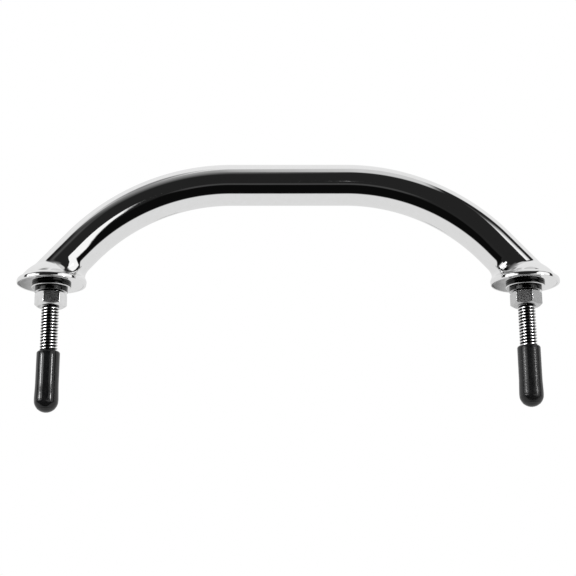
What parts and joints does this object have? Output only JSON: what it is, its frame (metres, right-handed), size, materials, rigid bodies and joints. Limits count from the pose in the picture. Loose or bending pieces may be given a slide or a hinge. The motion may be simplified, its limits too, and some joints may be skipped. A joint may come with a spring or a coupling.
{
  "type": "grab rail",
  "caption": "Low arched tubular grab rail on domed round bases, with threaded studs that clamp it through a deck or panel.",
  "frame": {"origin": "on the deck plane, which is the plane of both bases' undersides, midway between the two studs", "axes": "+X along the rail from the left stud to the right stud, +Z out of the deck towards the hand grip, +Y across the rail"},
  "size_m": [0.2472, 0.0312, 0.1164],
  "materials": {
    "polished_steel": "mirror-polished stainless steel",
    "weld_metal": "stainless filler metal, ground and polished where it shows",
    "stud_steel": "bright rolled stainless thread",
    "washer_steel": "bright stainless steel",
    "nut_steel": "bright stainless steel",
    "black_vinyl": "glossy dip-moulded black vinyl"
  },
  "bodies": {
    "rail": {"rail_tube": "polished_steel", "left_base_plate": "polished_steel", "left_base_dome": "polished_steel", "left_tube_weld": "weld_metal", "left_stud": "stud_steel", "left_stud_weld": "weld_metal", "right_base_plate": "polished_steel", "right_base_dome": "polished_steel", "right_tube_weld": "weld_metal", "right_stud": "stud_steel", "right_stud_weld": "weld_metal"},
    "left_washers": {"left_flat_washer": "washer_steel", "left_lock_washer": "washer_steel"},
    "left_nut": {"left_hex_nut": "nut_steel"},
    "left_cap": {"left_stud_cap": "black_vinyl"},
    "right_washers": {"right_flat_washer": "washer_steel", "right_lock_washer": "washer_steel"},
    "right_nut": {"right_hex_nut": "nut_steel"},
    "right_cap": {"right_stud_cap": "black_vinyl"}
  },
  "joints": [
    {"name": "left_washer_slide", "type": "slide", "parent": "rail", "child": "left_washers", "axis": [0, 0, -1], "range_m": [0, 0.0198]},
    {"name": "left_nut_spin", "type": "hinge", "parent": "left_washers", "child": "left_nut", "pos_m": [-0.108, 0, -0.007], "axis": [0, 0, -1], "range_deg": [0, 5040]},
    {"name": "left_cap_slide", "type": "slide", "parent": "rail", "child": "left_cap", "axis": [0, 0, -1], "range_m": [0, 0.03]},
    {"name": "right_washer_slide", "type": "slide", "parent": "rail", "child": "right_washers", "axis": [0, 0, -1], "range_m": [0, 0.018]},
    {"name": "right_nut_spin", "type": "hinge", "parent": "right_washers", "child": "right_nut", "pos_m": [0.108, 0, -0.007], "axis": [0, 0, -1], "range_deg": [0, 4590]},
    {"name": "right_cap_slide", "type": "slide", "parent": "rail", "child": "right_cap", "axis": [0, 0, -1], "range_m": [0, 0.03]}
  ],
  "couplings": [
    {"joint": "left_washer_slide", "follows": "left_nut_spin", "m_per_rad": 0.00022458},
    {"joint": "right_washer_slide", "follows": "right_nut_spin", "m_per_rad": 0.00022458}
  ]
}
